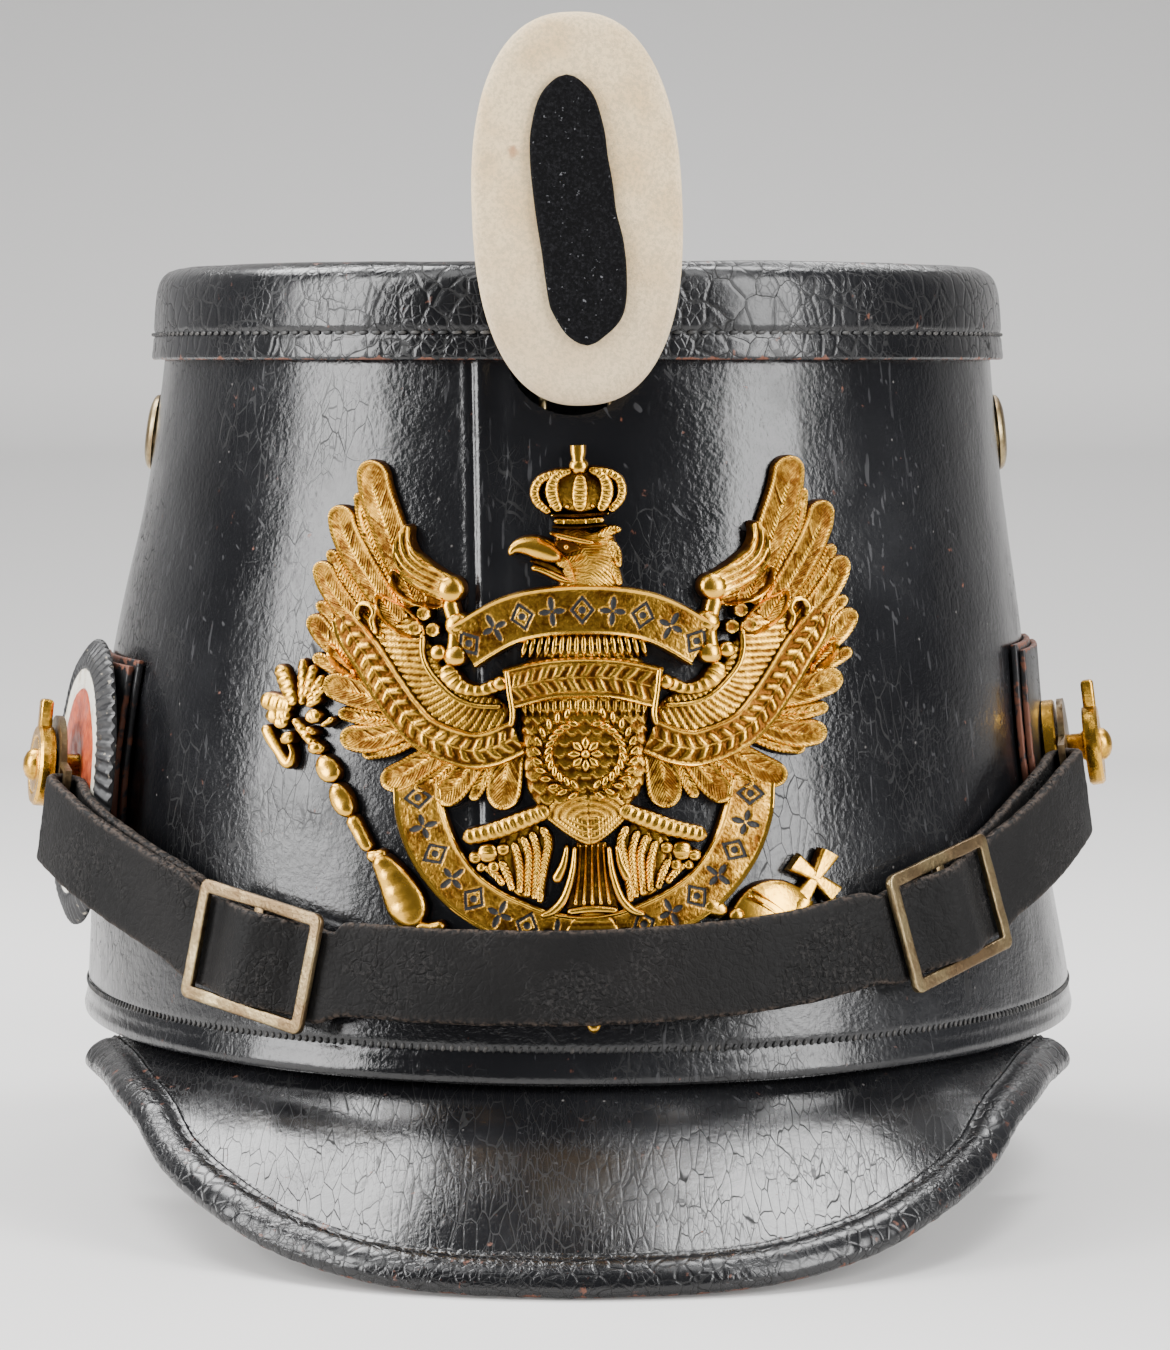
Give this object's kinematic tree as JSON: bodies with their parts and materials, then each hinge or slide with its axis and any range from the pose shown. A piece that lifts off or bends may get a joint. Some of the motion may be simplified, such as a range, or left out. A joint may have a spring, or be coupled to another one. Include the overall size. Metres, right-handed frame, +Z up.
{
  "type": "shako hat",
  "caption": "Black leather shako with front and rear visors, brass eagle plate, oval field badge, side cockade and a buckled chin strap.",
  "frame": {"origin": "middle of the hat's box on the surface that its two visors rest on", "axes": "+Z up, the plate and front visor face -Y, +X is the side with the bare post and no cockade"},
  "size_m": [0.2047, 0.2864, 0.2131],
  "materials": {
    "lacquered_leather": "gloss lacquer, crazed",
    "edge_leather": "worn, brown at the edges",
    "strap_leather": "matte grained",
    "gilt_brass": "aged stamped brass",
    "aged_brass": "dull, brown tarnish",
    "white_wool": "cream woollen cloth, napped",
    "black_felt": "matte",
    "painted_tin": "painted rings"
  },
  "bodies": {
    "root": {"body_shell": "lacquered_leather", "crown_lid": "lacquered_leather", "front_visor": "lacquered_leather", "visor_trim": "edge_leather", "rear_visor": "lacquered_leather", "eagle_plate": "gilt_brass", "field_badge": "white_wool", "badge_centre": "black_felt", "badge_prong": "aged_brass", "cockade": "painted_tin", "side_patch_inner_left": "edge_leather", "side_patch_outer_left": "edge_leather", "side_patch_inner_right": "edge_leather", "side_patch_outer_right": "edge_leather", "side_post_left": "gilt_brass", "side_post_right": "gilt_brass", "post_nut_left": "aged_brass", "post_nut_right": "aged_brass", "strap_lug_left": "aged_brass", "strap_lug_right": "aged_brass", "chin_strap": "strap_leather", "buckle_left": "aged_brass", "buckle_right": "aged_brass", "vent_left": "aged_brass", "vent_right": "aged_brass"}
  },
  "joints": []
}
